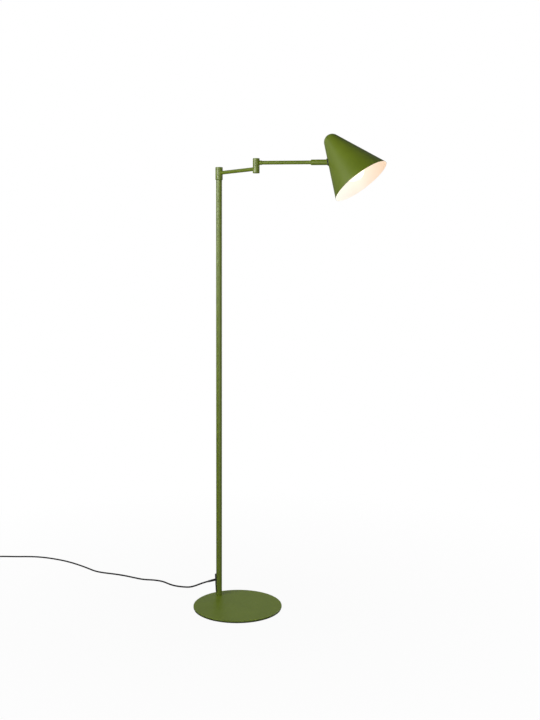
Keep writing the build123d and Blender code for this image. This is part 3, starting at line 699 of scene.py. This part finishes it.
def plug_relief():
    """Tapered, grooved sleeve where the cord goes into the plug."""
    from_y, to_y = PLUG_FACE_Y + RELIEF_LENGTH, PLUG_FACE_Y - RELIEF_SINK
    line = [p for p in centreline(ROUTE)[-CORD_TAIL:] if from_y > p.y > to_y]
    start, end = line[0].y, line[-1].y
    fine, radii = [], []
    for i in range(RELIEF_ROWS + 1):
        along = i / RELIEF_ROWS
        y = start + (end - start) * along
        k = max(1, next((n for n, p in enumerate(line) if p.y <= y), len(line) - 1))
        share = (y - line[k - 1].y) / (line[k].y - line[k - 1].y)
        fine.append(line[k - 1].lerp(line[k], share))
        radius = RELIEF_RADIUS + RELIEF_FLARE * along
        if RELIEF_GROOVED[0] < along < RELIEF_GROOVED[1]:
            radius -= RELIEF_DEPTH * (1 - groove_wave(RELIEF_GROOVES, along))
        radii.append(radius * MM)
    return sleeve_along("plug_relief", fine, radii, [black], "base",
                        RELIEF_SEGMENTS)


relief = plug_relief()

# ------------------------------------------------------------- outlet's nose
NOSE_HEADING = -110.0      # degrees, from +X towards +Y
NOSE_DROOP = 10.0          # degrees below level
NOSE_ROOT = (0.0095, 0.0, 0.0525)      # on the outlet's face, from the pole's foot
NOSE_FROM = 3.4            # millimetres along the nose
NOSE_LENGTH = 18.6
NOSE_RADIUS = 3.35         # at the root
NOSE_TAPER = 0.55
NOSE_BORE = 2.4
NOSE_RINGS = 6
NOSE_RING_DEPTH = 0.28
NOSE_ROWS = 48
NOSE_SEGMENTS = 40


def nose_rings():
    """Soft grooved rings round the outlet's nose."""
    outlet = (POLE @ turn(NOSE_HEADING, "Z") @ Matrix.Translation(NOSE_ROOT)
              @ turn(90.0 + NOSE_DROOP, "Y"))
    outline = []
    for i in range(NOSE_ROWS + 1):
        along = i / NOSE_ROWS
        radius = NOSE_RADIUS - NOSE_TAPER * along
        outline.append((radius + NOSE_RING_DEPTH * groove_wave(NOSE_RINGS, along),
                        NOSE_FROM + NOSE_LENGTH * along))
    ends = [(NOSE_BORE, NOSE_FROM + NOSE_LENGTH), (NOSE_BORE, NOSE_FROM)]
    lathe("outlet_rings", outline + ends, outlet, [rubber], "base",
          NOSE_SEGMENTS)


nose_rings()

# ---------------------------------------------------------- floor and light
FLOOR_RADIUS = 40.0
FLOOR_SEGMENTS = 64
FLOOR_DROP = 0.0004        # below the lamp's foot, so that no faces coincide
FLOOR_TONES = (0.55, 0.57)
FLOOR_FADE = (0.2, 1.4)    # metres from the origin over which the floor turns plain white
FLOOR_LIFT = 0.95          # share of plain white at the lamp
WHITE = (1.0, 1.0, 1.0, 1.0)
ROOM_LIGHT = 0.13          # bounced light from the room, and from the pale wall in it
WALL_LIGHT = 0.38
WALL_WAY = (-0.86, 0.34, 0.38)         # direction of the wall
WALL_EDGE = (0.8, 0.96)    # cosines to that direction between which the room turns into wall
# name: place, where it points, its two sides, power in watts, spread in degrees
SOFTBOXES = {
    "key": ((0.2, -1.9, 1.5), (0.0, 0.0, 1.25), (1.9, 0.9), 16.5, 95.0),
    "front": ((2.6, -0.9, 0.8), (0.0, 0.0, 0.8), (1.4, 1.6), 25.0, 180.0),
    "back_right": ((0.1, 2.8, 0.9), (0.0, 0.0, 0.9), (1.8, 1.2), 20.0, 180.0),
    "back_left": ((-2.4, -0.6, 2.2), (0.0, 0.0, 0.9), (1.4, 1.4), 4.5, 180.0),
}


def seen_directly(tree):
    """1 where the camera looks straight at the surface, 0 for bounced light."""
    return tree.nodes.new("ShaderNodeLightPath").outputs["Is Camera Ray"]


def stage_material():
    """Matt pale floor that lights the lamp softly and fades out to white."""
    p = Paint("pale_floor", roughness=0.95)
    tones = [(tone,) * 3 for tone in FLOOR_TONES]
    p.colour(p.mixed(p.ranged(p.noise(1.6, 3.0), 0.0, 1.0), *tones))
    plain = p.add("ShaderNodeEmission")
    blend = p.add("ShaderNodeMixShader")
    reach = p.add("ShaderNodeVectorMath", operation="LENGTH")
    p.link(p.coords, reach.inputs[0])
    fade = p.ranged(reach.outputs["Value"], FLOOR_LIFT, 1.0, *FLOOR_FADE)
    p.link(p.math("MULTIPLY", fade, seen_directly(p.tree)), blend.inputs["Fac"])
    p.link(p.shader.outputs["BSDF"], blend.inputs[1])
    p.link(plain.outputs["Emission"], blend.inputs[2])
    p.link(blend.outputs["Shader"], p.tree.nodes["Material Output"].inputs["Surface"])
    return p.material


def add_floor():
    grid = bmesh.new()
    bmesh.ops.create_circle(grid, cap_ends=True, segments=FLOOR_SEGMENTS, radius=FLOOR_RADIUS)
    mesh = grid_mesh("floor", grid)
    mesh.materials.append(stage_material())
    floor = add_object("floor", mesh)
    floor.location.z = -FLOOR_DROP


def softbox(name, at, look, size, power, spread):
    """A rectangular area light aimed at a point."""
    data = bpy.data.lights.new(name, "AREA")
    data.spread = math.radians(spread)
    data.shape = "RECTANGLE"
    data.size, data.size_y = size
    data.energy = power
    lamp = add_object(name, data)
    lamp.location = at
    lamp.rotation_euler = (Vector(look) - Vector(at)).to_track_quat("-Z", "Y").to_euler()


def add_world():
    """A white backdrop for the camera; for bounced light a dim room and a pale wall."""
    world = bpy.data.worlds.new("studio")
    world.use_nodes = True
    tree = world.node_tree
    backdrop = tree.nodes["Background"]
    backdrop.inputs["Color"].default_value = WHITE
    way = tree.nodes.new("ShaderNodeVectorMath")
    way.operation = "DOT_PRODUCT"
    way.inputs[1].default_value = Vector(WALL_WAY).normalized()
    tree.links.new(tree.nodes.new("ShaderNodeTexCoord").outputs["Generated"], way.inputs[0])
    shade_of_room = tree.nodes.new("ShaderNodeMapRange")
    for label, number in (("From Min", WALL_EDGE[0]), ("From Max", WALL_EDGE[1]),
                          ("To Min", ROOM_LIGHT), ("To Max", WALL_LIGHT)):
        shade_of_room.inputs[label].default_value = number
    tree.links.new(way.outputs["Value"], shade_of_room.inputs["Value"])
    dim = tree.nodes.new("ShaderNodeBackground")
    dim.inputs["Color"].default_value = WHITE
    tree.links.new(shade_of_room.outputs["Result"], dim.inputs["Strength"])
    blend = tree.nodes.new("ShaderNodeMixShader")
    tree.links.new(seen_directly(tree), blend.inputs["Fac"])
    tree.links.new(dim.outputs["Background"], blend.inputs[1])
    tree.links.new(backdrop.outputs["Background"], blend.inputs[2])
    tree.links.new(blend.outputs["Shader"], tree.nodes["World Output"].inputs["Surface"])
    bpy.context.scene.world = world


add_floor()
add_world()
for box_name, settings in SOFTBOXES.items():
    softbox(box_name, *settings)
bpy.context.scene.view_settings.view_transform = "Standard"

bpy.context.view_layer.update()
